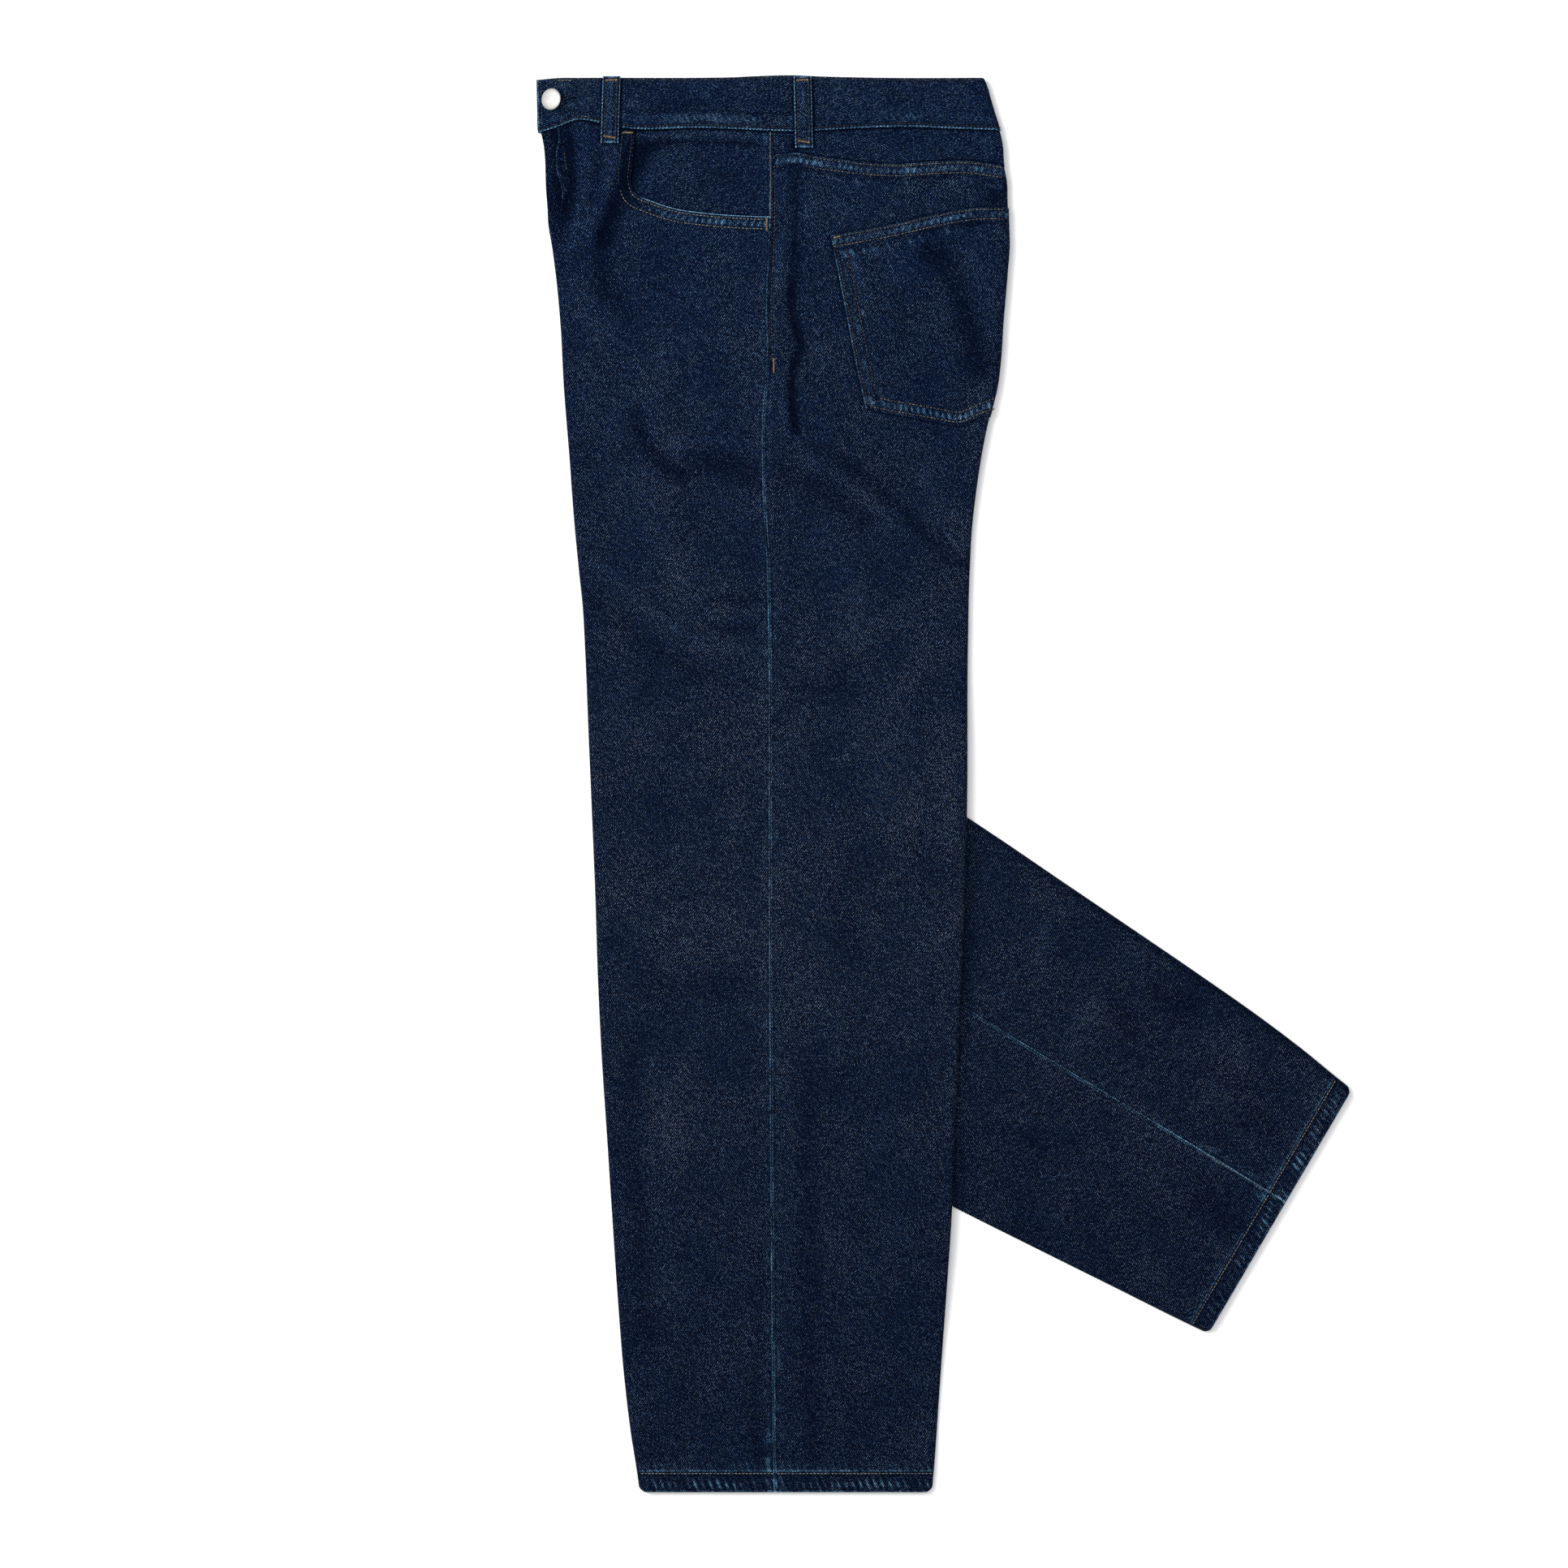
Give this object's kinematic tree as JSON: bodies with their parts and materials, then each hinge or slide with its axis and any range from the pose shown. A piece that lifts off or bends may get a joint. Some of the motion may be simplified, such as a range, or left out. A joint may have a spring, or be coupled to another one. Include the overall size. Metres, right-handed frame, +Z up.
{
  "type": "jeans laid flat",
  "caption": "Wide-leg denim jeans folded in half lengthwise and laid flat on one side, the under leg swung out diagonally; buttoned waistband, belt loops, scoop and patch pockets.",
  "frame": {"origin": "middle of the garment's footprint, on the surface that it lies on", "axes": "+X from the front edge towards the swung-out leg's hem, +Y towards the waistband, +Z up"},
  "size_m": [0.635, 1.0964, 0.0175],
  "materials": {
    "indigo_denim": "dark indigo twill with pale wefts and worn seam edges",
    "button_metal": "pale satin metal, plain domed face",
    "topstitch_thread": "tan polyester thread",
    "bartack_thread": "bright golden-orange polyester thread"
  },
  "bodies": {
    "root": {"waistband": "indigo_denim", "left_front_panel": "indigo_denim", "left_back_panel": "indigo_denim", "left_yoke": "indigo_denim", "left_pocket_facing": "indigo_denim", "left_back_pocket": "indigo_denim", "right_front_panel": "indigo_denim", "right_back_panel": "indigo_denim", "right_yoke": "indigo_denim", "right_pocket_facing": "indigo_denim", "right_back_pocket": "indigo_denim", "fly_shield": "indigo_denim", "front_left_loop": "indigo_denim", "side_left_loop": "indigo_denim", "centre_back_loop": "indigo_denim", "side_right_loop": "indigo_denim", "front_right_loop": "indigo_denim", "button": "button_metal"}
  },
  "joints": []
}
